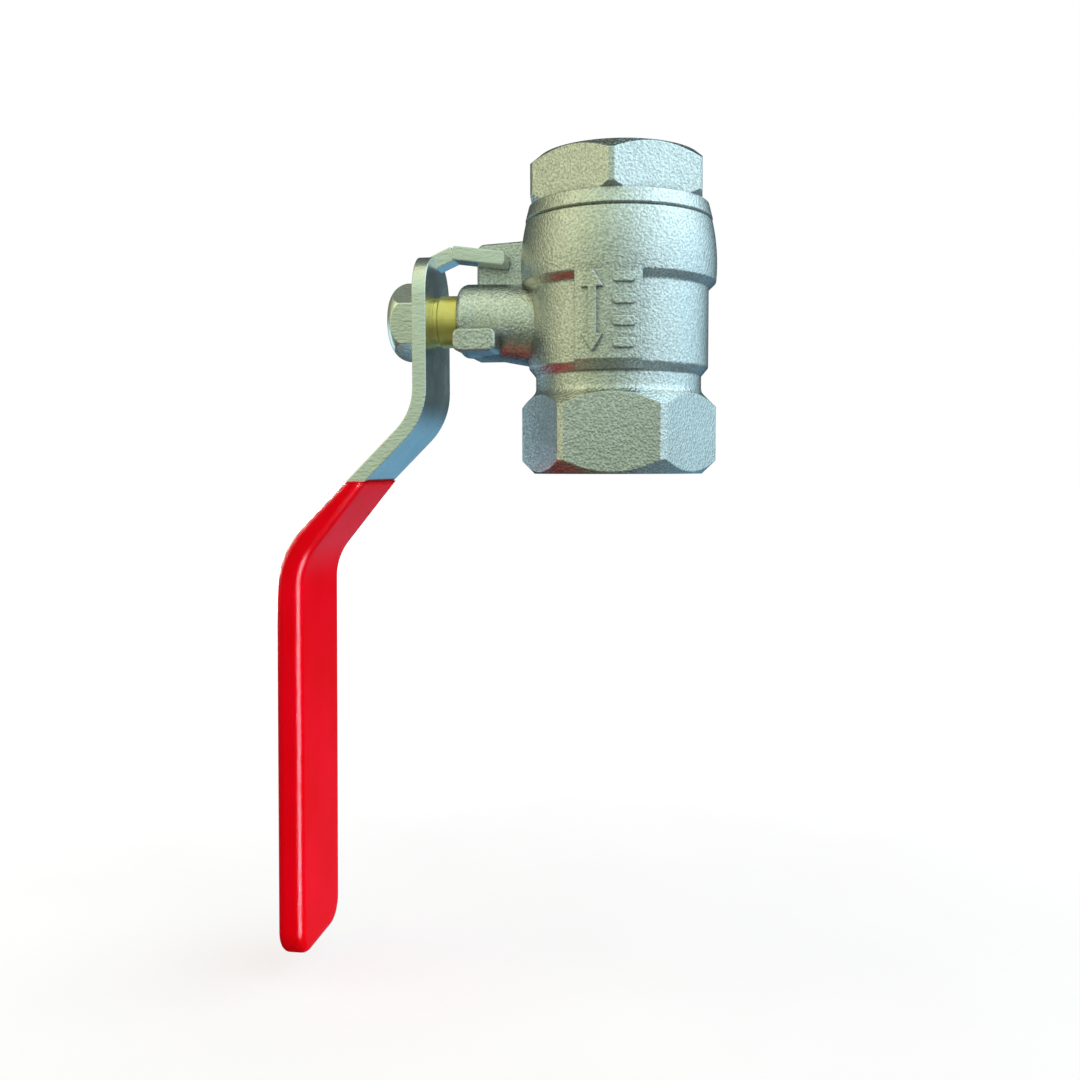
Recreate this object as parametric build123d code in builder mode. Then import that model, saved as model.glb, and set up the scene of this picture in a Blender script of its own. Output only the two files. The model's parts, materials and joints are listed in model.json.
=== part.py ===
from build123d import *
import math
import os

# Half-inch ball valve, two-piece body, open. Millimetres.
# The origin is the ball's centre. The pipe runs along Z, with the end cap at +Z,
# and the stem, lever and nut stand out along -X.

# ---- driving dimensions: body and end cap --------------------------------------
BODY_LENGTH = 45.0              # face to face
BODY_HEX_FLATS = 25.0           # spanner size of the body's hexagon
CAP_HEX_FLATS = 24.0            # spanner size of the end cap's hexagon
HEX_CORNER_RADIUS = 14.15       # the hexagons' corners are turned to this radius
END_FACE_RADIUS = 12.2          # outer edge of each flat end face
PORT_RADIUS = 10.48             # major radius of the G1/2 thread (20.955 mm)
PORT_CHAMFER = 0.55
PORT_DEPTH = 10.5               # length of full thread
FLOW_RADIUS = 6.3
PORT_CONE = 1.4                 # depth of the cone from the thread to the passage
SEAM_Z = 13.6                   # where the end cap's flange meets the body
SEAM_CHAMFER = 0.25
FLANGE_RADIUS = 13.5
FLANGE_TOP_Z = 15.8
FLANGE_TOP_RADIUS = 13.0
CAP_CORNER_ROUNDING = 1.2
CAP_CORNER_RADIUS = 13.62
CAP_CORNER_FOOT_Z = 16.5        # the cap's corners draw in to the flange below this height
CAP_FACE_RADIUS = 11.7
COLLAR_RADIUS = 14.15
COLLAR_WIDEST_Z = 8.3
COLLAR_BOTTOM_Z = 4.9
COLLAR_STEP = 1.0               # height of the slope under the collar
COLLAR_EDGE = 0.45              # casting radii
MID_RADIUS = 13.0
MID_BOTTOM_Z = -7.3
MID_EDGE = 0.5
NECK_RADIUS = 12.0
NECK_TOP_Z = -8.5
NECK_BLEND = 1.4
HEX_TOP_Z = -12.9               # top of the body hexagon's full corners
HEX_BOTTOM_Z = -20.6            # bottom of the body hexagon's full corners
CAP_HEX_SHOULDER_Z = 20.9       # top of the cap hexagon's full corners
SPIGOT_RADIUS = 12.0            # the end cap's threaded spigot
SPIGOT_CLEARANCE = 0.04
SPIGOT_BOTTOM_Z = 5.9
CAVITY_RADIUS = 11.0

# ---- driving dimensions: ball, seats and stem -----------------------------------
BALL_RADIUS = 10.2
BALL_BORE_RADIUS = 6.2
SEAT_GAP = 0.1                  # between the ball and the face of each seat
SEAT_RADIUS = 9.5
SEAT_CLEARANCE = 0.05
SEAT_BORE_RADIUS = 6.4
SEAT_BACK_Z = 9.15
SEAT_FRONT_Z = 5.2
POCKET_LIP = 0.3
BALL_EDGE = 0.3
SLOT_FLOOR = 7.3                # distances along the stem are from the ball's centre
SLOT_WIDTH = 3.6
TANG_WIDTH = 3.4
TANG_LENGTH = 7.4
TANG_END = 7.5
STEM_RADIUS = 3.8
STEM_CLEARANCE = 0.05
STEM_FLANGE_RADIUS = 4.7
STEM_FLANGE_START = 10.5
STEM_FLANGE_END = 11.6
THRUST_WASHER_END = 12.4
WASHER_PLAY = 0.05
O_RING_PLACES = (15.0, 18.5)
O_RING_CORD_RADIUS = 0.52
O_RING_GROOVE_RADIUS = 2.75
O_RING_GROOVE_WIDTH = 1.5
STEM_NECK_RADIUS = 3.55
STEM_NECK_START = 26.1
STEM_FLATS = 5.0
THREAD_RADIUS = 2.97            # M6
THREAD_START = 28.5

# ---- driving dimensions: boss, stops and marks on the body ---------------------
BOSS_END = 23.4
BOSS_RADIUS = 5.4
BOSS_EDGE = 1.5
BOSS_WEB_START = 20.0           # below, the boss spreads into the body from here
BOSS_WEB_END = 9.0
BOSS_WEB_RADIUS = 6.3
BOSS_WEB_DROP = 1.2
LUG_REACH = 9.0                 # from the middle plane to the lug's end
LUG_TOP_Z = -2.0
LUG_BOTTOM_Z = -5.2
LUG_INNER = 16.6
LUG_OUTER = 22.8
LUG_CORNER = 1.0
LUG_EDGE = 0.35
RIB_FACE_Y = 2.75
RIB_THICKNESS = 3.4
RIB_TOP_Z = 11.8                # at the rib's end
RIB_ROOT_Z = 13.0               # its top edge rises to this height at the pipe's axis
RIB_END = 21.5
RIB_CORNER = 1.2
RIB_EDGE = 0.35
PAD_LEFT = -5.0
PAD_RIGHT = 4.2
PAD_BOTTOM_Z = -8.3
PAD_SLOPE = 1.3
PAD_INSET = 0.1                 # the pads stand this far inside the collar's widest radius
PAD_FOOT_INSET = 0.3
PAD_RUN_IN = 1.0                # and run this far up into the collar
MARK_HEIGHT = 0.45
MARK_MIDDLE_Z = -0.6
ARROW_X = -2.5
ARROW_LENGTH = 11.0
ARROW_HEAD = 1.5                # half the width of each arrowhead
ARROW_HEAD_LENGTH = 2.4
ARROW_SHAFT = 0.55              # half the width of the shaft
BARS_X = 1.8
BAR_COUNT = 4
BAR_LENGTH = 3.0
BAR_WIDTH = 1.3
BAR_CORNER = 0.45
BAR_PITCH = 2.9

# ---- driving dimensions: lever, grip and nut -----------------------------------
LEVER_INNER = 26.9
LEVER_THICKNESS = 2.0
LEVER_HALF_WIDTH = 7.75
LEVER_HEAD_Z = 9.2              # top of the head
LEVER_HEAD_CORNER = 6.0
CRANK_TOP_Z = -14.0             # corner where the crank starts to lean out
CRANK_BOTTOM_Z = -33.6          # corner where it turns straight down again
HANDLE_OFFSET = 47.5
HANDLE_END_OFFSET = 48.2
LEVER_TIP_Z = -94.2
LEVER_TIP_CORNER = 3.4
CRANK_TOP_BEND = 9.5
CRANK_BOTTOM_BEND = 12.0
TAB_NEAR_Y = -1.85
TAB_NECK_NEAR_Y = -1.2
TAB_FAR_Y = 2.55
TAB_ROOT_Z = 5.0
TAB_FOOT_Z = 8.3                # the neck leans over the boss from here
TAB_FOOT_BEND = 1.6
TAB_KNEE = 24.3                 # distance along the stem where it turns down again
TAB_KNEE_Z = 9.9
TAB_END = 16.5
TAB_END_Z = 8.85
TAB_CORNER = 0.5
GRIP_HALF_WIDTH = 8.75
GRIP_TOP_Z = -23.6
GRIP_TIP_Z = -95.3
GRIP_TOP_OFFSETS = (39.2, 35.75)    # outer and inner surface, from the pipe's axis
GRIP_TIP_OFFSETS = (50.2, 46.2)
GRIP_OUTER_BEND = (49.55, -33.95)   # offset and height of each bend's corner
GRIP_INNER_BEND = (45.6, -35.8)
GRIP_BEND_RADII = (13.0, 9.0)
GRIP_TIP_CORNER = 4.2
GRIP_EDGE = 1.15
NUT_FLATS = 10.0
NUT_HEIGHT = 4.8
NUT_BORE_RADIUS = 3.0
NUT_TURN = 22.0                 # the angle it was tightened to
NUT_CHAMFER = 0.55
NUT_BASE_RADIUS = 4.75
NUT_CROWN_RADIUS = 3.5          # flat top of the nut's crown
NUT_CROWN_SHOULDER = (0.75, 4.9)    # depth and radius of a point on the rounded crown
NUT_CROWN_DEPTH = 2.3
NUT_CORNER = NUT_FLATS / 2 / math.cos(math.radians(30))
FIT_GAP = 0.05

HALF_LENGTH = BODY_LENGTH / 2
PORT_FLOOR_Z = HALF_LENGTH - PORT_DEPTH
LEVER_MID = LEVER_INNER + LEVER_THICKNESS / 2
LEVER_OUTER = LEVER_INNER + LEVER_THICKNESS
NUT_END = LEVER_OUTER + NUT_HEIGHT
FAR = 60.0                      # longer than the valve, for cuts that pass through


def stem_plane(distance):
    """The plane across the stem's axis, facing outwards, with its Y along +Z."""
    return Plane(origin=(-distance, 0, 0), x_dir=(0, -1, 0), z_dir=(-1, 0, 0))


def finish(part, name):
    """Label a finished piece and write it out."""
    part.label = name
    export_step(part, f"parts/{name}.step")


def nearest(sketch, place):
    """The corner of a sketch that is nearest to a place in the sketch's own plane."""
    return sketch.vertices().sort_by_distance((*place, 0))[0]


def seat_ring(side):
    """A PTFE seat whose face is ground to the ball. side is +1 above and -1 below."""
    face = BALL_RADIUS + SEAT_GAP
    inner_z = math.sqrt(face**2 - SEAT_BORE_RADIUS**2)
    lip_radius = math.sqrt(face**2 - SEAT_FRONT_Z**2)
    middle = math.atan2(inner_z + SEAT_FRONT_Z, SEAT_BORE_RADIUS + lip_radius)
    middle_point = (face * math.cos(middle), side * face * math.sin(middle))
    with BuildPart() as seat:
        with BuildSketch(Plane.XZ):
            with BuildLine():
                Line((SEAT_BORE_RADIUS, side * inner_z), (SEAT_BORE_RADIUS, side * SEAT_BACK_Z))
                Line((SEAT_BORE_RADIUS, side * SEAT_BACK_Z), (SEAT_RADIUS, side * SEAT_BACK_Z))
                Line((SEAT_RADIUS, side * SEAT_BACK_Z), (SEAT_RADIUS, side * SEAT_FRONT_Z))
                Line((SEAT_RADIUS, side * SEAT_FRONT_Z), (lip_radius, side * SEAT_FRONT_Z))
                ThreePointArc(
                    (lip_radius, side * SEAT_FRONT_Z), middle_point, (SEAT_BORE_RADIUS, side * inner_z)
                )
            make_face()
        revolve(axis=Axis.Z)
    return seat.part


def port_profile(side):
    """Half section of a threaded port, from the end face to the flow passage."""
    end = side * HALF_LENGTH
    mouth = side * (HALF_LENGTH - PORT_CHAMFER)
    floor = side * PORT_FLOOR_Z
    seat = side * SEAT_BACK_Z
    cone_end = side * (PORT_FLOOR_Z - PORT_CONE)
    return [
        (0, end),
        (PORT_RADIUS + PORT_CHAMFER, end),
        (PORT_RADIUS, mouth),
        (PORT_RADIUS, floor),
        (FLOW_RADIUS, cone_end),
        (FLOW_RADIUS, seat),
        (SEAT_RADIUS + SEAT_CLEARANCE, seat),
        (SEAT_RADIUS + SEAT_CLEARANCE, 0),
        (0, 0),
    ]


os.makedirs("parts", exist_ok=True)

# ---- valve body -----------------------------------------------------------------
hex_neck = (NECK_RADIUS, HEX_TOP_Z + HEX_CORNER_RADIUS - NECK_RADIUS)
with BuildPart() as body_hexagon:
    with BuildSketch(Plane.XY.offset(-HALF_LENGTH)):
        RegularPolygon(BODY_HEX_FLATS / 2, 6, major_radius=False)
    extrude(amount=HALF_LENGTH + NECK_TOP_Z)
    with BuildSketch(Plane.XZ) as body_outline:
        with BuildLine():
            Polyline(
                (0, -HALF_LENGTH),
                (END_FACE_RADIUS, -HALF_LENGTH),
                (HEX_CORNER_RADIUS, HEX_BOTTOM_Z),
                (HEX_CORNER_RADIUS, HEX_TOP_Z),
                hex_neck,
                (NECK_RADIUS, NECK_TOP_Z),
                (0, NECK_TOP_Z),
                close=True,
            )
        make_face()
        fillet(nearest(body_outline, hex_neck), radius=NECK_BLEND)
    revolve(axis=Axis.Z, mode=Mode.INTERSECT)

with BuildPart() as pads:
    with BuildSketch(Plane.XZ):
        with BuildLine():
            Polyline(
                (0, PAD_BOTTOM_Z),
                (MID_RADIUS - PAD_FOOT_INSET, PAD_BOTTOM_Z),
                (COLLAR_RADIUS - PAD_INSET, PAD_BOTTOM_Z + PAD_SLOPE),
                (COLLAR_RADIUS - PAD_INSET, COLLAR_BOTTOM_Z + PAD_RUN_IN),
                (0, COLLAR_BOTTOM_Z + PAD_RUN_IN),
                close=True,
            )
        make_face()
    revolve(axis=Axis.Z)
    with BuildSketch(Plane.XY.offset(-HALF_LENGTH)):
        with Locations(((PAD_LEFT + PAD_RIGHT) / 2, 0)):
            Rectangle(PAD_RIGHT - PAD_LEFT, FAR)
    extrude(amount=BODY_LENGTH, mode=Mode.INTERSECT)

# raised marks on both pads: an arrow for the flow, either way, and a row of bars
with BuildPart() as flow_marks:
    with BuildSketch(Plane.XZ.offset(FAR / 2)):
        with BuildLine():
            head_z = ARROW_LENGTH / 2 - ARROW_HEAD_LENGTH
            upper = [(0, ARROW_LENGTH / 2), (ARROW_HEAD, head_z), (ARROW_SHAFT, head_z)]
            right = upper + [(x, -z) for x, z in reversed(upper)]
            left = [(-x, z) for x, z in reversed(right)]
            outline = [(ARROW_X + x, MARK_MIDDLE_Z + z) for x, z in right + left[1:-1]]
            Polyline(*outline, close=True)
        make_face()
        with Locations((BARS_X, MARK_MIDDLE_Z)):
            with GridLocations(0, BAR_PITCH, 1, BAR_COUNT):
                RectangleRounded(BAR_LENGTH, BAR_WIDTH, BAR_CORNER)
    extrude(amount=-FAR)
    with BuildSketch(Plane.XY.offset(-HALF_LENGTH)):
        Circle(COLLAR_RADIUS + MARK_HEIGHT)
    extrude(amount=BODY_LENGTH, mode=Mode.INTERSECT)

with BuildPart() as stem_boss:
    with BuildSketch(Plane.XY):
        with BuildLine():
            Polyline(
                (-BOSS_END + BOSS_EDGE, BOSS_RADIUS),
                (-BOSS_WEB_END, BOSS_RADIUS),
                (-BOSS_WEB_END, 0),
                (-BOSS_END, 0),
                (-BOSS_END, BOSS_RADIUS - BOSS_EDGE),
            )
            RadiusArc((-BOSS_END, BOSS_RADIUS - BOSS_EDGE), (-BOSS_END + BOSS_EDGE, BOSS_RADIUS), BOSS_EDGE)
        make_face()
    revolve(axis=Axis.X)
    with BuildSketch(stem_plane(BOSS_WEB_END)):
        with Locations((0, -BOSS_WEB_DROP)):
            Circle(BOSS_WEB_RADIUS)
    with BuildSketch(stem_plane(BOSS_WEB_START)):
        Circle(BOSS_RADIUS)
    loft()

with BuildPart() as stop_lugs:
    with BuildSketch(stem_plane(LUG_INNER)):
        with Locations((0, (LUG_TOP_Z + LUG_BOTTOM_Z) / 2)):
            Rectangle(2 * LUG_REACH, LUG_TOP_Z - LUG_BOTTOM_Z)
    extrude(amount=LUG_OUTER - LUG_INNER)
    fillet(stop_lugs.edges().filter_by(Axis.Y), radius=LUG_CORNER)
    fillet(stop_lugs.faces().filter_by(Axis.Y).edges(), radius=LUG_EDGE)

with BuildPart() as stop_rib:
    with BuildSketch(Plane.XZ.offset(-RIB_FACE_Y)) as rib_outline:
        with BuildLine():
            Polyline((0, 0), (-RIB_END, 0), (-RIB_END, RIB_TOP_Z), (0, RIB_ROOT_Z), close=True)
        make_face()
        fillet(nearest(rib_outline, (-RIB_END, RIB_TOP_Z)), radius=RIB_CORNER)
    extrude(amount=-RIB_THICKNESS)
    chamfer(stop_rib.faces().sort_by(Axis.Y)[0].edges().sort_by(Axis.X)[:3], length=RIB_EDGE)

collar_foot = (COLLAR_RADIUS - PAD_INSET, COLLAR_BOTTOM_Z)
collar_step = (MID_RADIUS, COLLAR_BOTTOM_Z - COLLAR_STEP)
collar_lip = (FLANGE_RADIUS, SEAM_Z - SEAM_CHAMFER)
with BuildPart() as valve_body:
    with BuildSketch(Plane.XZ) as body_outline:
        with BuildLine():
            Polyline(
                (0, NECK_TOP_Z),
                (NECK_RADIUS, NECK_TOP_Z),
                (MID_RADIUS, MID_BOTTOM_Z),
                collar_step,
                collar_foot,
            )
            ThreePointArc(collar_foot, (COLLAR_RADIUS, COLLAR_WIDEST_Z), collar_lip)
            Polyline(collar_lip, (FLANGE_RADIUS - SEAM_CHAMFER, SEAM_Z), (0, SEAM_Z), (0, NECK_TOP_Z))
        make_face()
        fillet(nearest(body_outline, collar_foot), radius=COLLAR_EDGE)
        fillet(nearest(body_outline, collar_step), radius=COLLAR_EDGE)
        fillet(nearest(body_outline, (MID_RADIUS, MID_BOTTOM_Z)), radius=MID_EDGE)
    revolve(axis=Axis.Z)
    add(stem_boss.part)
    add(stop_lugs.part)
    add(stop_rib.part)
    add(body_hexagon.part)
    add(pads.part)
    add(flow_marks.part)
    # threaded port, seat pocket and ball cavity
    with BuildSketch(Plane.XZ):
        with BuildLine():
            Polyline(
                *port_profile(-1)[:7],
                (SEAT_RADIUS + SEAT_CLEARANCE, -SEAT_FRONT_Z - POCKET_LIP),
                (CAVITY_RADIUS, -SEAT_FRONT_Z),
                (CAVITY_RADIUS, SPIGOT_BOTTOM_Z),
                (SPIGOT_RADIUS + SPIGOT_CLEARANCE, SPIGOT_BOTTOM_Z),
                (SPIGOT_RADIUS + SPIGOT_CLEARANCE, SEAM_Z),
                (0, SEAM_Z),
                close=True,
            )
        make_face()
    revolve(axis=Axis.Z, mode=Mode.SUBTRACT)
    # stem bore, and the wider seat for the stem's flange and thrust washer
    with BuildSketch(stem_plane(0)):
        Circle(STEM_RADIUS + STEM_CLEARANCE)
    extrude(amount=FAR, mode=Mode.SUBTRACT)
    with BuildSketch(stem_plane(0)):
        Circle(STEM_FLANGE_RADIUS + STEM_CLEARANCE)
    extrude(amount=THRUST_WASHER_END, mode=Mode.SUBTRACT)
finish(valve_body.part, "valve_body")

# ---- end cap --------------------------------------------------------------------
with BuildPart() as end_cap:
    with BuildSketch(Plane.XY.offset(SEAM_Z)):
        RegularPolygon(CAP_HEX_FLATS / 2, 6, rotation=30, major_radius=False)
    extrude(amount=HALF_LENGTH - SEAM_Z)
    fillet(end_cap.edges().filter_by(Axis.Z), radius=CAP_CORNER_ROUNDING)
    with BuildSketch(Plane.XZ):
        with BuildLine():
            Polyline(
                (0, SEAM_Z),
                (FLANGE_TOP_RADIUS, SEAM_Z),
                (FLANGE_TOP_RADIUS, FLANGE_TOP_Z),
                (CAP_CORNER_RADIUS, CAP_CORNER_FOOT_Z),
                (CAP_CORNER_RADIUS, CAP_HEX_SHOULDER_Z),
                (CAP_FACE_RADIUS, HALF_LENGTH),
                (0, HALF_LENGTH),
                close=True,
            )
        make_face()
    revolve(axis=Axis.Z, mode=Mode.INTERSECT)
    # round flange above the seam, and the spigot that screws into the body
    with BuildSketch(Plane.XZ):
        with BuildLine():
            Polyline(
                (0, SPIGOT_BOTTOM_Z),
                (SPIGOT_RADIUS - SEAM_CHAMFER, SPIGOT_BOTTOM_Z),
                (SPIGOT_RADIUS, SPIGOT_BOTTOM_Z + SEAM_CHAMFER),
                (SPIGOT_RADIUS, SEAM_Z),
                (FLANGE_RADIUS - SEAM_CHAMFER, SEAM_Z),
                (FLANGE_RADIUS, SEAM_Z + SEAM_CHAMFER),
                (FLANGE_TOP_RADIUS, FLANGE_TOP_Z),
                (0, FLANGE_TOP_Z),
                close=True,
            )
        make_face()
    revolve(axis=Axis.Z)
    with BuildSketch(Plane.XZ):
        with BuildLine():
            Polyline(
                *port_profile(1)[:7],
                (SEAT_RADIUS + SEAT_CLEARANCE, SPIGOT_BOTTOM_Z),
                (0, SPIGOT_BOTTOM_Z),
                close=True,
            )
        make_face()
    revolve(axis=Axis.Z, mode=Mode.SUBTRACT)
finish(end_cap.part, "end_cap")

# ---- ball and seats -------------------------------------------------------------
with BuildPart() as ball:
    Sphere(BALL_RADIUS)
    with BuildSketch(Plane.XY):
        Circle(BALL_BORE_RADIUS)
    extrude(amount=FAR, both=True, mode=Mode.SUBTRACT)
    fillet(ball.edges(), radius=BALL_EDGE)
    with BuildSketch(stem_plane(SLOT_FLOOR)):
        Rectangle(FAR, SLOT_WIDTH)
    extrude(amount=FAR, mode=Mode.SUBTRACT)
finish(ball.part, "ball")

finish(seat_ring(-1), "body_seat")
finish(seat_ring(1), "cap_seat")

# ---- stem and its seals ---------------------------------------------------------
with BuildPart() as stem:
    with BuildSketch(stem_plane(TANG_END)):
        Rectangle(TANG_LENGTH, TANG_WIDTH)
    extrude(amount=STEM_FLANGE_START - TANG_END)
    with BuildSketch(stem_plane(STEM_FLANGE_START)):
        Circle(STEM_FLANGE_RADIUS)
    extrude(amount=STEM_FLANGE_END - STEM_FLANGE_START)
    with BuildSketch(stem_plane(STEM_FLANGE_END)):
        Circle(STEM_RADIUS)
    extrude(amount=STEM_NECK_START - STEM_FLANGE_END)
    with BuildSketch(stem_plane(STEM_NECK_START)):
        Circle(STEM_RADIUS)
    with BuildSketch(stem_plane(STEM_NECK_START + STEM_RADIUS - STEM_NECK_RADIUS)):
        Circle(STEM_NECK_RADIUS)
    loft()
    with BuildSketch(stem_plane(STEM_NECK_START)):
        Circle(STEM_NECK_RADIUS)
    extrude(amount=LEVER_INNER - STEM_NECK_START)
    # flats that drive the lever, and the threaded end for its nut
    with BuildSketch(stem_plane(LEVER_INNER)):
        Circle(STEM_NECK_RADIUS)
        Rectangle(FAR, STEM_FLATS, mode=Mode.INTERSECT)
    extrude(amount=THREAD_START - LEVER_INNER)
    with BuildSketch(stem_plane(THREAD_START)):
        Circle(THREAD_RADIUS)
        Rectangle(FAR, STEM_FLATS, mode=Mode.INTERSECT)
    extrude(amount=NUT_END - THREAD_START)
    for place in O_RING_PLACES:
        with BuildSketch(stem_plane(place - O_RING_GROOVE_WIDTH / 2)):
            Circle(STEM_RADIUS + STEM_CLEARANCE)
            Circle(O_RING_GROOVE_RADIUS, mode=Mode.SUBTRACT)
        extrude(amount=O_RING_GROOVE_WIDTH, mode=Mode.SUBTRACT)
finish(stem.part, "stem")

with BuildPart() as thrust_washer:
    with BuildSketch(stem_plane(STEM_FLANGE_END + WASHER_PLAY)):
        Circle(STEM_FLANGE_RADIUS)
        Circle(STEM_RADIUS + 2 * STEM_CLEARANCE, mode=Mode.SUBTRACT)
    extrude(amount=THRUST_WASHER_END - STEM_FLANGE_END - WASHER_PLAY)
finish(thrust_washer.part, "thrust_washer")

o_ring_radius = STEM_RADIUS + STEM_CLEARANCE / 2 - O_RING_CORD_RADIUS
for place, name in zip(O_RING_PLACES, ("stem_o_ring_inner", "stem_o_ring_outer")):
    with BuildPart(stem_plane(place)) as o_ring:
        Torus(o_ring_radius, O_RING_CORD_RADIUS)
    finish(o_ring.part, name)

# ---- lever ----------------------------------------------------------------------
with BuildPart() as handle_strip:
    with BuildLine():
        FilletPolyline(
            (-LEVER_MID, 0, 0),
            (-LEVER_MID, 0, CRANK_TOP_Z),
            (-HANDLE_OFFSET, 0, CRANK_BOTTOM_Z),
            (-HANDLE_END_OFFSET, 0, LEVER_TIP_Z),
            radius=(CRANK_TOP_BEND, CRANK_BOTTOM_BEND),
        )
    with BuildSketch(Plane.XY):
        with Locations((-LEVER_MID, 0)):
            Rectangle(LEVER_THICKNESS, 2 * LEVER_HALF_WIDTH)
    sweep()
    tip_edges = handle_strip.faces().sort_by(Axis.Z)[0].edges().sort_by(Axis.Y)
    fillet([tip_edges[0], tip_edges[-1]], radius=LEVER_TIP_CORNER)

# the stop tab: a neck bent over from the head, with a wider end that meets the stops
tab_middle_y = (TAB_NECK_NEAR_Y + TAB_FAR_Y) / 2
with BuildPart() as tab_neck:
    with BuildLine():
        FilletPolyline(
            (-LEVER_MID, tab_middle_y, TAB_ROOT_Z),
            (-LEVER_MID, tab_middle_y, TAB_FOOT_Z),
            (-TAB_KNEE, tab_middle_y, TAB_KNEE_Z),
            radius=TAB_FOOT_BEND,
        )
    with BuildSketch(Plane((-LEVER_MID, tab_middle_y, TAB_ROOT_Z))):
        Rectangle(LEVER_THICKNESS, TAB_FAR_Y - TAB_NECK_NEAR_Y)
    sweep()

with BuildPart() as tab_end:
    with BuildSketch(Plane.XZ.offset(-TAB_FAR_Y)) as tab_outline:
        half = LEVER_THICKNESS / 2
        with BuildLine():
            Polyline(
                (-TAB_KNEE, TAB_KNEE_Z - half),
                (-TAB_END, TAB_END_Z - half),
                (-TAB_END, TAB_END_Z + half),
                (-TAB_KNEE, TAB_KNEE_Z + half),
                close=True,
            )
        make_face()
        fillet(tab_outline.vertices().sort_by(Axis.X)[-2:], radius=TAB_CORNER)
        fillet(nearest(tab_outline, (-TAB_KNEE, TAB_KNEE_Z + half)), radius=TAB_CORNER)
    extrude(amount=TAB_FAR_Y - TAB_NEAR_Y)

with BuildPart() as lever:
    add(handle_strip.part)
    with BuildSketch(stem_plane(LEVER_INNER)) as head_outline:
        Rectangle(2 * LEVER_HALF_WIDTH, LEVER_HEAD_Z, align=(Align.CENTER, Align.MIN))
        fillet(head_outline.vertices().group_by(Axis.Y)[-1], radius=LEVER_HEAD_CORNER)
    extrude(amount=LEVER_THICKNESS)
    add(tab_neck.part)
    add(tab_end.part)
    with BuildSketch(stem_plane(LEVER_INNER)):
        Circle(STEM_NECK_RADIUS + FIT_GAP)
        Rectangle(FAR, STEM_FLATS + 2 * FIT_GAP, mode=Mode.INTERSECT)
    extrude(amount=LEVER_THICKNESS, mode=Mode.SUBTRACT)
finish(lever.part, "lever")

# ---- dipped grip ----------------------------------------------------------------
with BuildPart() as lever_grip:
    with BuildSketch(Plane.XZ.offset(-GRIP_HALF_WIDTH)) as grip_outline:
        outer_bend = (-GRIP_OUTER_BEND[0], GRIP_OUTER_BEND[1])
        inner_bend = (-GRIP_INNER_BEND[0], GRIP_INNER_BEND[1])
        with BuildLine():
            Polyline(
                (-GRIP_TOP_OFFSETS[0], GRIP_TOP_Z),
                outer_bend,
                (-GRIP_TIP_OFFSETS[0], GRIP_TIP_Z),
                (-GRIP_TIP_OFFSETS[1], GRIP_TIP_Z),
                inner_bend,
                (-GRIP_TOP_OFFSETS[1], GRIP_TOP_Z),
                close=True,
            )
        make_face()
        fillet(nearest(grip_outline, outer_bend), radius=GRIP_BEND_RADII[0])
        fillet(nearest(grip_outline, inner_bend), radius=GRIP_BEND_RADII[1])
    extrude(amount=2 * GRIP_HALF_WIDTH)
    fillet(lever_grip.edges().filter_by(Axis.X).group_by(Axis.Z)[0], radius=GRIP_TIP_CORNER)
    top_edges = lever_grip.faces().sort_by(Axis.Z)[-1].edges()
    fillet(lever_grip.edges() - top_edges, radius=GRIP_EDGE)
    add(lever.part, mode=Mode.SUBTRACT)
finish(lever_grip.part, "lever_grip")

# ---- lever nut ------------------------------------------------------------------
crown_foot = (-NUT_END + NUT_CROWN_DEPTH, NUT_CORNER)
crown_top = (-NUT_END, NUT_CROWN_RADIUS)
with BuildPart() as lever_nut:
    with BuildSketch(stem_plane(LEVER_OUTER)):
        RegularPolygon(NUT_FLATS / 2, 6, rotation=NUT_TURN, major_radius=False)
        Circle(NUT_BORE_RADIUS, mode=Mode.SUBTRACT)
    extrude(amount=NUT_HEIGHT)
    with BuildSketch(Plane.XY):
        with BuildLine():
            Polyline(
                (-LEVER_OUTER, 0),
                (-LEVER_OUTER, NUT_BASE_RADIUS),
                (-LEVER_OUTER - NUT_CHAMFER, NUT_CORNER),
                crown_foot,
            )
            ThreePointArc(crown_foot, (-NUT_END + NUT_CROWN_SHOULDER[0], NUT_CROWN_SHOULDER[1]), crown_top)
            Polyline(crown_top, (-NUT_END, 0), (-LEVER_OUTER, 0))
        make_face()
    revolve(axis=Axis.X, mode=Mode.INTERSECT)
finish(lever_nut.part, "lever_nut")
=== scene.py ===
import json
import math

import bpy
from mathutils import Matrix, Vector


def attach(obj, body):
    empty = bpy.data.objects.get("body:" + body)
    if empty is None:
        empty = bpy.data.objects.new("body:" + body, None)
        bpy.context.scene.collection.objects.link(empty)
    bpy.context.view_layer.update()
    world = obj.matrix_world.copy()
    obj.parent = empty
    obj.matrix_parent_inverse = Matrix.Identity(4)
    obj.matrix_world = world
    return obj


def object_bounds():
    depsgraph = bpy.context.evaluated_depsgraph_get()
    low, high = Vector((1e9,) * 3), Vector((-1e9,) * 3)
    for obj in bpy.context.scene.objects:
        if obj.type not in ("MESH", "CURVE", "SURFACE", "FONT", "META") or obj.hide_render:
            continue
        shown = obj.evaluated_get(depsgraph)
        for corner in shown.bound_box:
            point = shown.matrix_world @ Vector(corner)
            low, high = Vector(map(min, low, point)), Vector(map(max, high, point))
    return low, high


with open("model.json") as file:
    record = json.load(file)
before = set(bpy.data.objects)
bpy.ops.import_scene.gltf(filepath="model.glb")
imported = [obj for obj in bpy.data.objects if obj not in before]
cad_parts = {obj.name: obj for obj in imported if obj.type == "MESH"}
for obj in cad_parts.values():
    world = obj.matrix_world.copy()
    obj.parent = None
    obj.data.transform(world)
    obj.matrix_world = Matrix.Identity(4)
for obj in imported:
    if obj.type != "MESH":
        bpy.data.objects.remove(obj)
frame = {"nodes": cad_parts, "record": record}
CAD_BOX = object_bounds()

MM = 0.001
NODES = frame["nodes"]
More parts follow.
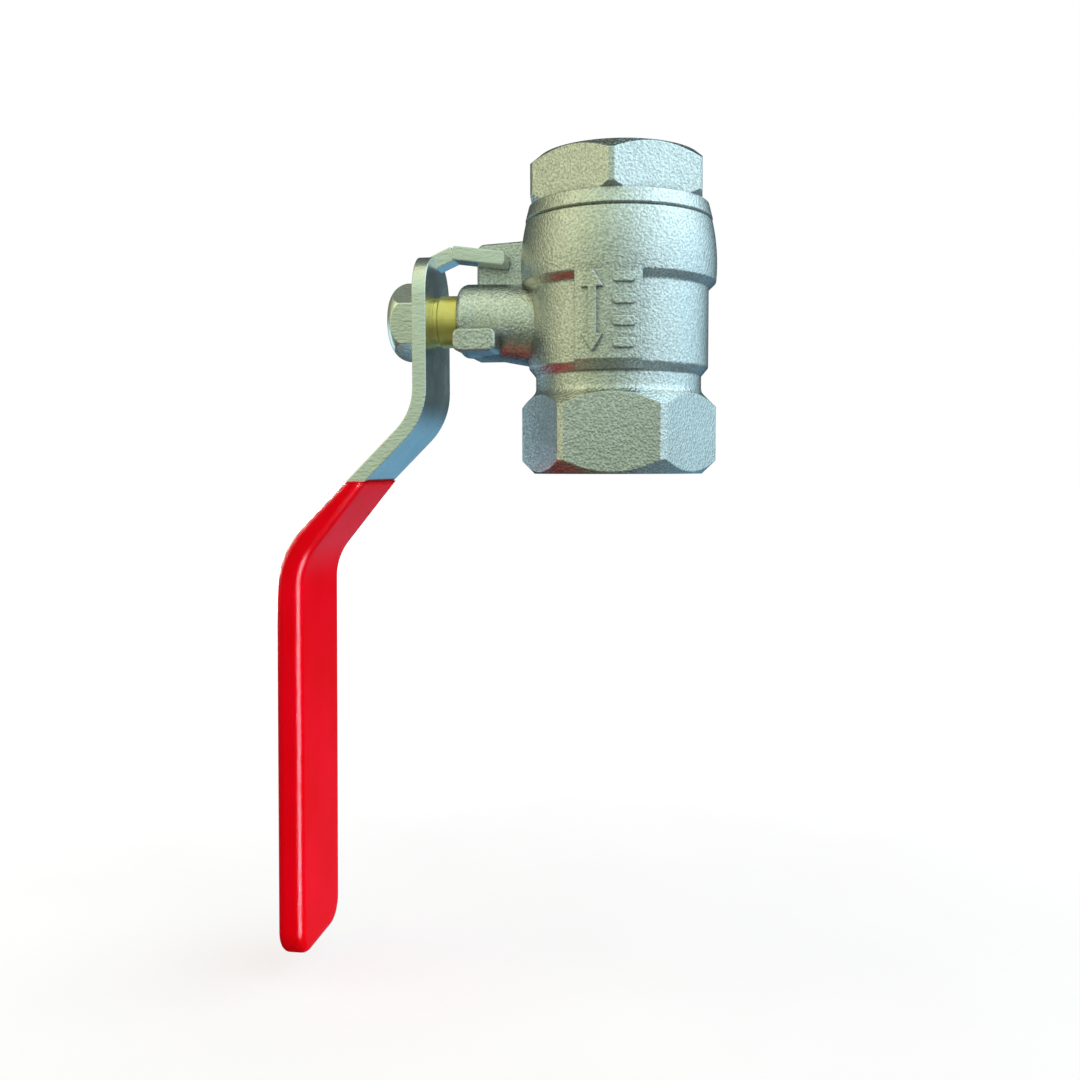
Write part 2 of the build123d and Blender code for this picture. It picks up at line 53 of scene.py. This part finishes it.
END_FACE_Z = CAD_BOX[1].z           # the cap's end face; the body's is as far below
PORT_MOUTH_RADIUS = 10.9 * MM       # just outside the ports' bores
FACING_DEPTH = 0.06 * MM
MOUNTS = {mount["name"]: mount for mount in frame["record"]["mounts"]}


# ---- node helpers ----------------------------------------------------------------
NOISE_LOW, NOISE_HIGH = 0.3, 0.7    # nearly all of a noise lies between these
BEVEL_SAMPLES = 6
# painted shade in corners: its occlusion samples, and the occlusion counted as closed and as open
CREVICE_SHADE_SAMPLES = 6
CREVICE_SHADE_CLOSED, CREVICE_SHADE_OPEN = 0.35, 0.9


class Nodes:
    """A new material's node tree, with short ways to add and join nodes."""

    def __init__(self, name):
        self.material = bpy.data.materials.new(name)
        self.material.use_nodes = True
        self.tree = self.material.node_tree
        self.shader = self.tree.nodes["Principled BSDF"]

    def add(self, kind, settings=None, **inputs):
        """A node with its settings, and its inputs set to numbers or joined to outputs."""
        node = self.tree.nodes.new(kind)
        for key, value in (settings or {}).items():
            setattr(node, key, value)
        for key, value in inputs.items():
            self.put(node, key.replace("_", " "), value)
        return node

    def put(self, node, key, value):
        socket = node.inputs[int(key)] if key.isdigit() else node.inputs[key]
        if isinstance(value, bpy.types.NodeSocket):
            self.tree.links.new(value, socket)
        else:
            socket.default_value = value

    def math(self, operation, first, second=0.0):
        node = self.add("ShaderNodeMath", {"operation": operation})
        self.put(node, "0", first)
        self.put(node, "1", second)
        return node.outputs[0]

    def place(self, stretch=(1, 1, 1)):
        """Object coordinates in metres, stretched by a factor along each axis."""
        coords = self.add("ShaderNodeTexCoord").outputs["Object"]
        return self.add("ShaderNodeMapping", Vector=coords, Scale=stretch).outputs[0]

    def noise(self, size, detail=2.0, stretch=(1, 1, 1)):
        """Noise whose spots are about this many metres across."""
        node = self.add("ShaderNodeTexNoise", Vector=self.place(stretch), Scale=1 / size, Detail=detail)
        return node.outputs["Fac"]

    def blend(self, factor, low, high):
        """Runs from low to high colour over the noise's range."""
        ramp = self.add("ShaderNodeValToRGB", Fac=factor)
        stops = ((NOISE_LOW, low), (NOISE_HIGH, high))
        for element, (place, colour) in zip(ramp.color_ramp.elements, stops):
            element.position = place
            element.color = (*colour, 1)
        return ramp.outputs["Color"]

    def spread(self, factor, low, high):
        """Runs from low to high over the noise's range."""
        return self.remap(factor, (NOISE_LOW, NOISE_HIGH), (low, high))

    def remap(self, value, source, target):
        """The value, with one range stretched onto another."""
        (a, b), (c, d) = source, target
        node = self.add("ShaderNodeMapRange", Value=value, From_Min=a, From_Max=b, To_Min=c, To_Max=d)
        return node.outputs[0]

    def relief(self, height, depth, under=None):
        """Surface relief this many metres deep, over another relief or rounded edge."""
        node = self.add("ShaderNodeBump", Height=height, Distance=depth, Strength=1.0)
        if under:
            self.put(node, "Normal", under)
        return node.outputs[0]

    def soft_edges(self, radius):
        """Edges shaded as if rounded to this radius."""
        return self.add("ShaderNodeBevel", {"samples": BEVEL_SAMPLES}, Radius=radius).outputs[0]

    def painted_crevice_shade(self, reach, darkest):
        """Painted shade: 1 in the open, falling to the given share in corners less than this deep."""
        settings = {"samples": CREVICE_SHADE_SAMPLES}
        node = self.add("ShaderNodeAmbientOcclusion", settings, Distance=reach)
        return self.remap(node.outputs["AO"], (CREVICE_SHADE_CLOSED, CREVICE_SHADE_OPEN), (darkest, 1.0))

    def facing(self, axis):
        """1 where the surface faces along the object's X, Y or Z axis, either way."""
        normal = self.add("ShaderNodeTexCoord").outputs["Normal"]
        parts = self.add("ShaderNodeSeparateXYZ", Vector=normal)
        return self.math("ABSOLUTE", parts.outputs[axis])

    def surface(self, colour=None, rough=None, normal=None, metallic=0.0, **plain):
        """The finished material. A value in plain is the same all over the surface."""
        self.shader.inputs["Metallic"].default_value = metallic
        for key, value in (("Base Color", colour), ("Roughness", rough), ("Normal", normal)):
            if value is not None:
                self.put(self.shader, key, value)
        for key, value in plain.items():
            self.shader.inputs[key.replace("_", " ")].default_value = value
        return self.material


# ---- materials -------------------------------------------------------------------
SHEARED_EDGE = 0.8                  # a face is a sheared edge if its normal is this much along Y


def blasted_nickel():
    """Forged brass, shot blasted and nickel plated: fine dimples and soft corners, with creases
    darkened by painted shade.
    The bores and end faces were cut afterwards, so they have turning lines and no dimples."""
    nodes = Nodes("blasted_nickel")
    parts = nodes.add("ShaderNodeSeparateXYZ", Vector=nodes.place())
    x, y, z = parts.outputs
    square = nodes.math("ADD", nodes.math("MULTIPLY", x, x), nodes.math("MULTIPLY", y, y))
    radius = nodes.math("SQRT", square)
    bored = nodes.math("LESS_THAN", radius, PORT_MOUTH_RADIUS)
    faced = nodes.math("GREATER_THAN", nodes.math("ABSOLUTE", z), END_FACE_Z - FACING_DEPTH)
    cut = nodes.math("MAXIMUM", bored, faced)
    rough_share = nodes.math("SUBTRACT", 1.0, cut)

    clouds = nodes.noise(9 * MM, detail=3)
    dimples = nodes.math("SUBTRACT", nodes.noise(0.34 * MM, detail=3), 0.5)
    grain = nodes.math("ADD", nodes.math("MULTIPLY", dimples, rough_share), 0.5)
    round_axis = nodes.add("ShaderNodeCombineXYZ", X=radius, Z=z).outputs[0]
    turning = nodes.add("ShaderNodeTexNoise", Vector=round_axis, Scale=1 / (0.14 * MM)).outputs["Fac"]
    lines = nodes.math("MULTIPLY", turning, cut)

    # the colour is scaled by the dimple grain's tone, and by painted shade that darkens corners and
    # creases
    grain_and_painted_shade = nodes.math("MULTIPLY", nodes.spread(grain, 0.72, 1.22), nodes.painted_crevice_shade(1.1 * MM, 0.45))
    tint = nodes.blend(clouds, (0.60, 0.605, 0.565), (0.66, 0.67, 0.64))
    colour = nodes.add("ShaderNodeVectorMath", {"operation": "SCALE"}, Vector=tint, Scale=grain_and_painted_shade)
    soft = nodes.soft_edges(0.25 * MM)
    dimpled = nodes.relief(grain, 0.14 * MM, soft)
    normal = nodes.relief(lines, 0.016 * MM, dimpled)
    rough = nodes.spread(clouds, 0.16, 0.22)
    return nodes.surface(colour.outputs[0], rough, normal, metallic=1.0)


def machined_nickel():
    """Cut thread under the plating: bright, with fine turning lines."""
    nodes = Nodes("machined_nickel")
    lines = nodes.noise(0.12 * MM, stretch=(0.15, 0.15, 1))
    normal = nodes.relief(lines, 0.012 * MM)
    colour = nodes.blend(nodes.noise(4 * MM), (0.60, 0.60, 0.57), (0.68, 0.68, 0.64))
    return nodes.surface(colour, nodes.spread(lines, 0.18, 0.3), normal, metallic=1.0)


def turned_brass():
    """Bare brass with turning lines round the stem's axis."""
    nodes = Nodes("turned_brass")
    lines = nodes.noise(0.16 * MM, stretch=(1, 0.04, 0.04))
    tarnish = nodes.noise(2.5 * MM, detail=4)
    colour = nodes.blend(tarnish, (0.80, 0.60, 0.14), (0.97, 0.79, 0.24))
    normal = nodes.relief(lines, 0.02 * MM, nodes.soft_edges(0.15 * MM))
    return nodes.surface(colour, nodes.spread(tarnish, 0.28, 0.38), normal, metallic=0.75)


def polished_chrome():
    nodes = Nodes("polished_chrome")
    swirls = nodes.noise(0.3 * MM, stretch=(1, 1, 0.1))
    normal = nodes.relief(swirls, 0.002 * MM, nodes.soft_edges(0.1 * MM))
    colour = nodes.blend(nodes.noise(5 * MM), (0.74, 0.76, 0.79), (0.82, 0.83, 0.85))
    return nodes.surface(colour, nodes.spread(swirls, 0.05, 0.09), normal, metallic=1.0)


def zinc_plate(name, shear_depth, dull, bright):
    """Zinc-plated steel: smooth rolled faces, and sheared edges with torn ripples across them."""
    nodes = Nodes(name)
    clouds = nodes.noise(6 * MM, detail=4)
    rolled = nodes.noise(0.35 * MM, detail=3)
    torn = nodes.noise(0.7 * MM, detail=3, stretch=(0.6, 1, 1.7))
    sheared = nodes.math("GREATER_THAN", nodes.facing("Y"), SHEARED_EDGE)
    colour = nodes.blend(clouds, dull, bright)
    soft = nodes.soft_edges(0.3 * MM)
    faces = nodes.relief(rolled, 0.035 * MM, soft)
    ripple = nodes.math("MULTIPLY", torn, sheared)
    normal = nodes.relief(ripple, shear_depth, faces)
    return nodes.surface(colour, nodes.spread(clouds, 0.22, 0.30), normal, metallic=1.0)


def ptfe():
    nodes = Nodes("ptfe")
    cloud = nodes.noise(1.5 * MM, detail=3)
    colour = nodes.blend(cloud, (0.84, 0.84, 0.80), (0.92, 0.92, 0.89))
    normal = nodes.relief(nodes.noise(0.25 * MM), 0.008 * MM, nodes.soft_edges(0.1 * MM))
    return nodes.surface(colour, nodes.spread(cloud, 0.4, 0.55), normal, Subsurface_Weight=0.1)


def nitrile():
    nodes = Nodes("nitrile")
    dust = nodes.noise(0.4 * MM, detail=3)
    colour = nodes.blend(dust, (0.012, 0.012, 0.013), (0.035, 0.035, 0.036))
    return nodes.surface(colour, nodes.spread(dust, 0.5, 0.7), nodes.relief(dust, 0.01 * MM))


def dipped_vinyl():
    """Dipped PVC: deep red, glossy, slightly wavy, with a little dust in the skin."""
    nodes = Nodes("dipped_vinyl")
    waves = nodes.noise(6 * MM)
    skin = nodes.noise(0.8 * MM)
    colour = nodes.blend(nodes.noise(12 * MM), (0.84, 0.0006, 0.004), (0.92, 0.001, 0.011))
    soft = nodes.soft_edges(1.3 * MM)
    normal = nodes.relief(skin, 0.004 * MM, nodes.relief(waves, 0.02 * MM, soft))
    rough = nodes.spread(skin, 0.16, 0.22)
    return nodes.surface(colour, rough, normal, Specular_IOR_Level=0.009)


def use(material, *names):
    """Gives CAD nodes their material."""
    for name in names:
        mesh = NODES[name].data
        mesh.materials.clear()
        mesh.materials.append(material)


# ---- port threads ----------------------------------------------------------------
THREAD_PITCH = 1.814 * MM           # G1/2
THREAD_DEPTH = 1.16 * MM
THREAD_START = 0.9 * MM             # first turn's depth below the end face
THREAD_TURNS = 5
THREAD_STEPS = 72                   # round one turn
THREAD_RUN_OUT = 0.5                # turns over which each end runs out
THREAD_LEAST = 0.02                 # share of the ridge's height at its very ends
THREAD_SUNK = 0.04 * MM             # how far the ridge's foot stands in the wall
# across the ridge: place along the axis and height, as parts of the pitch and the depth
THREAD_SECTION = ((-0.46, 0.0), (-0.12, 0.86), (-0.05, 0.97), (0.05, 0.97), (0.12, 0.86), (0.46, 0.0))


def port_thread(name, mount, side, material):
    """The ridge of a female thread, which runs out at both ends. side is +1 for the upper port."""
    radius = mount["dims"]["r_mm"] * MM
    steps = THREAD_TURNS * THREAD_STEPS
    rows = []
    for step in range(steps + 1):
        turn = step / THREAD_STEPS
        fade = min(1.0, turn / THREAD_RUN_OUT, (THREAD_TURNS - turn) / THREAD_RUN_OUT)
        angle = 2 * math.pi * turn
        depth = THREAD_START + turn * THREAD_PITCH
        row = []
        for along, height in THREAD_SECTION:
            rise = (height * THREAD_DEPTH + THREAD_SUNK) * max(fade, THREAD_LEAST)
            reach = radius + THREAD_SUNK - rise
            z = side * (END_FACE_Z - depth - along * THREAD_PITCH)
            row.append((reach * math.cos(angle), side * reach * math.sin(angle), z))
        rows.append(row)
    count = len(THREAD_SECTION)
    points = [point for row in rows for point in row]
    faces = []
    for step in range(steps):
        for place in range(count):
            here = step * count + place
            beside = step * count + (place + 1) % count
            faces.append((here, here + count, beside + count, beside))
    faces.append(tuple(range(count)))
    faces.append(tuple(reversed(range(steps * count, (steps + 1) * count))))
    mesh = bpy.data.meshes.new(name)
    mesh.from_pydata(points, [], faces)
    mesh.validate()
    mesh.materials.append(material)
    piece = bpy.data.objects.new(name, mesh)
    bpy.context.scene.collection.objects.link(piece)
    bpy.context.view_layer.update()
    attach(piece, "housing")
    return piece


# ---- stage, light and camera -----------------------------------------------------
CAMERA_PLACE = (12.08 * MM, -164.64 * MM, -21.69 * MM)
CAMERA_YAW = 8.178
CAMERA_PITCH = -3.672
CAMERA_ROLL = -0.086
FOCAL_SHARE = 1118.5 / 1080         # focal length over the frame's width
SENSOR_WIDTH = 36.0
NEAREST_SEEN = 1 * MM
FLOOR_GAP = 4 * MM
FLOOR_SIZE = 6.0
FLOOR_FADE = (0.05, 0.45)           # the floor's glow rises between these distances
FLOOR_GLOW = (0.7, 1.0)

# light from each side: turns from behind the camera, positive to the right, and its colour
ROUND_LIGHT = (
    (-0.50, (0.02, 0.03, 0.03)),
    (-0.42, (0.10, 0.12, 0.12)),
    (-0.34, (0.18, 0.21, 0.17)),
    (-0.26, (0.40, 0.44, 0.26)),
    (-0.18, (1.12, 1.18, 0.82)),
    (-0.12, (0.66, 0.76, 0.48)),
    (-0.02, (0.52, 0.66, 0.50)),
    (0.08, (0.62, 0.82, 0.81)),
    (0.14, (1.12, 1.48, 1.66)),
    (0.24, (0.96, 1.40, 1.62)),
    (0.31, (1.00, 1.50, 1.74)),
    (0.37, (0.64, 0.92, 1.06)),
    (0.44, (0.03, 0.04, 0.04)),
    (0.50, (0.02, 0.03, 0.03)),
)
# strength by height: the direction's Z, and its factor
RISING_LIGHT = (
    (-1.0, 0.28),
    (-0.6, 0.16),
    (-0.3, 0.36),
    (0.0, 0.92),
    (0.2, 0.90),
    (0.4, 1.05),
    (0.7, 1.35),
    (1.0, 1.2),
)
BRIGHTEST = 2.0                     # a ramp holds at most 1, so it is filled in shares of this
# soft reflectors, two blue and low and one white and high: the way to each, the cosine of its
# reach and its colour
PATCHES = (
    ((0.1, 0.85, -0.52), 0.86, (0.19, 0.43, 0.66)),
    ((-0.78, 0.62, -0.19), 0.94, (0.62, 0.96, 1.22)),
    ((0.72, 0.15, 0.66), 0.90, (0.5, 0.45, 0.4)),
)
PATCH_FULL = 0.985                  # cosine within which a reflector is at full strength
GRIP_MIDDLE = (-0.047, 0, -0.06)
GRIP_LOW = (-0.047, 0, -0.13)


def make_camera():
    data = bpy.data.cameras.new("camera")
    data.sensor_width = SENSOR_WIDTH
    data.lens = data.sensor_width * FOCAL_SHARE
    data.clip_start = NEAREST_SEEN
    camera = bpy.data.objects.new("camera", data)
    bpy.context.scene.collection.objects.link(camera)
    turn = Matrix.Rotation(math.radians(CAMERA_YAW), 3, "Z")
    tilt = Matrix.Rotation(math.radians(90 + CAMERA_PITCH), 3, "X")
    roll = Matrix.Rotation(math.radians(CAMERA_ROLL), 3, "Z")
    camera.matrix_world = Matrix.Translation(CAMERA_PLACE) @ (turn @ tilt @ roll).to_4x4()
    bpy.context.scene.camera = camera


def ramp_of(tree, value, stops):
    """A colour ramp through the given places, which run from 0 to 1."""
    ramp = tree.nodes.new("ShaderNodeValToRGB")
    ramp.color_ramp.interpolation = "B_SPLINE"
    elements = ramp.color_ramp.elements
    while len(elements) < len(stops):
        elements.new(0.5)
    for element, stop in zip(elements, stops):
        element.position = stop[0]
    for element, stop in zip(elements, stops):
        element.color = (*(part / BRIGHTEST for part in stop[1]), 1)
    tree.links.new(value, ramp.inputs[0])
    full = tree.nodes.new("ShaderNodeVectorMath")
    full.operation = "SCALE"
    full.inputs["Scale"].default_value = BRIGHTEST
    tree.links.new(ramp.outputs["Color"], full.inputs[0])
    return full.outputs[0]


def make_light():
    """Soft surroundings that the object reflects, on a white background."""
    world = bpy.data.worlds.new("studio")
    bpy.context.scene.world = world
    world.use_nodes = True
    tree = world.node_tree
    reflected = tree.nodes["Background"]

    def join(kind, operation, first, second):
        node = tree.nodes.new(kind)
        node.operation = operation
        for place, value in enumerate((first, second)):
            if isinstance(value, bpy.types.NodeSocket):
                tree.links.new(value, node.inputs[place])
            else:
                node.inputs[place].default_value = value
        return node

    direction = tree.nodes.new("ShaderNodeTexCoord").outputs["Generated"]
    parts = tree.nodes.new("ShaderNodeSeparateXYZ")
    tree.links.new(direction, parts.inputs[0])
    ahead = join("ShaderNodeMath", "MULTIPLY", parts.outputs["Y"], -1.0).outputs[0]
    azimuth = join("ShaderNodeMath", "ARCTAN2", parts.outputs["X"], ahead).outputs[0]
    turns = join("ShaderNodeMath", "DIVIDE", azimuth, 2 * math.pi).outputs[0]
    share = join("ShaderNodeMath", "ADD", turns, 0.5).outputs[0]
    around = ramp_of(tree, share, [(place + 0.5, colour) for place, colour in ROUND_LIGHT])
    half_z = join("ShaderNodeMath", "MULTIPLY", parts.outputs["Z"], 0.5).outputs[0]
    rise = join("ShaderNodeMath", "ADD", half_z, 0.5).outputs[0]
    height = ramp_of(tree, rise, [(place / 2 + 0.5, (factor,) * 3) for place, factor in RISING_LIGHT])
    lit = join("ShaderNodeVectorMath", "MULTIPLY", around, height).outputs[0]
    for way, reach, colour in PATCHES:
        nearness = join("ShaderNodeVectorMath", "DOT_PRODUCT", direction, Vector(way).normalized())
        share = tree.nodes.new("ShaderNodeMapRange")
        share.interpolation_type = "SMOOTHSTEP"
        share.inputs["From Min"].default_value = reach
        share.inputs["From Max"].default_value = PATCH_FULL
        tree.links.new(nearness.outputs["Value"], share.inputs["Value"])
        patch = join("ShaderNodeVectorMath", "SCALE", colour, (0, 0, 0))
        tree.links.new(share.outputs[0], patch.inputs["Scale"])
        lit = join("ShaderNodeVectorMath", "ADD", lit, patch.outputs[0]).outputs[0]
    tree.links.new(lit, reflected.inputs["Color"])
    seen = tree.nodes.new("ShaderNodeBackground")
    seen.inputs["Color"].default_value = (1, 1, 1, 1)
    path = tree.nodes.new("ShaderNodeLightPath")
    mix = tree.nodes.new("ShaderNodeMixShader")
    tree.links.new(path.outputs["Is Camera Ray"], mix.inputs[0])
    tree.links.new(reflected.outputs[0], mix.inputs[1])
    tree.links.new(seen.outputs[0], mix.inputs[2])
    tree.links.new(mix.outputs[0], tree.nodes["World Output"].inputs["Surface"])
    bpy.context.scene.view_settings.view_transform = "Standard"


def grip_light(name, place, target, size, power, colour=(1, 1, 1), glint=True):
    """A soft light on the grip only. A glint shows only as a reflection."""
    data = bpy.data.lights.new(name, "AREA")
    data.shape = "RECTANGLE"
    data.size, data.size_y = size
    data.energy = power
    data.color = colour
    lamp = bpy.data.objects.new(name, data)
    bpy.context.scene.collection.objects.link(lamp)
    lamp.location = place
    lamp.rotation_mode = "QUATERNION"
    lamp.rotation_quaternion = (Vector(target) - Vector(place)).to_track_quat("-Z", "Y")
    lamp.visible_camera = False
    lamp.visible_diffuse = not glint
    group = bpy.data.collections.new(name + "_receivers")
    group.objects.link(NODES["lever_grip"])
    lamp.light_linking.receiver_collection = group


def make_stage():
    """A pale floor that fades into the white background, and stays out of reflections."""
    bpy.ops.mesh.primitive_plane_add(size=FLOOR_SIZE, location=(0, 0, CAD_BOX[0].z - FLOOR_GAP))
    floor = bpy.context.object
    floor.name = "floor"
    nodes = Nodes("pale_floor")
    away = nodes.add("ShaderNodeVectorMath", {"operation": "LENGTH"}, Vector=nodes.place())
    glow = nodes.remap(away.outputs["Value"], FLOOR_FADE, FLOOR_GLOW)
    nodes.put(nodes.shader, "Emission Strength", glow)
    grain = nodes.blend(nodes.noise(40 * MM), (0.34, 0.27, 0.27), (0.37, 0.30, 0.30))
    floor.data.materials.append(nodes.surface(grain, Roughness=0.9, Emission_Color=(1, 1, 1, 1)))
    floor.visible_glossy = False
    floor.visible_diffuse = False
    floor.visible_shadow = False


use(blasted_nickel(), "valve_body", "end_cap")
use(turned_brass(), "stem")
use(polished_chrome(), "ball")
use(zinc_plate("sheared_zinc", 0.07 * MM, (0.72, 0.75, 0.70), (0.82, 0.85, 0.79)), "lever")
# the nut gets a lighter copy of the lever's zinc: painted light that brightens the nut's flats
use(zinc_plate("zinc_painted_lighter", 0.06 * MM, (0.88, 0.89, 0.80), (0.97, 0.98, 0.88)), "lever_nut")
use(ptfe(), "body_seat", "cap_seat", "thrust_washer")
use(nitrile(), "stem_o_ring_inner", "stem_o_ring_outer")
use(dipped_vinyl(), "lever_grip")

thread_finish = machined_nickel()
port_thread("cap_port_thread", MOUNTS["cap_port"], 1, thread_finish)
port_thread("body_port_thread", MOUNTS["body_port"], -1, thread_finish)

make_camera()
make_stage()
make_light()
grip_light("grip_fill", (0.22, -0.18, -0.12), GRIP_MIDDLE, (0.12, 0.16), 0.45, (1, 0.9, 0.9), False)
grip_light("grip_glint", (0.20, -0.19, -0.13), GRIP_LOW, (0.03, 0.30), 100.0, (0.85, 0.85, 1))
grip_light("grip_back_glint", (-0.30, 0.24, 0.06), GRIP_MIDDLE, (0.08, 0.30), 60.0)
grip_light("grip_side_glint", (-0.36, -0.04, 0.10), GRIP_MIDDLE, (0.06, 0.30), 60.0)
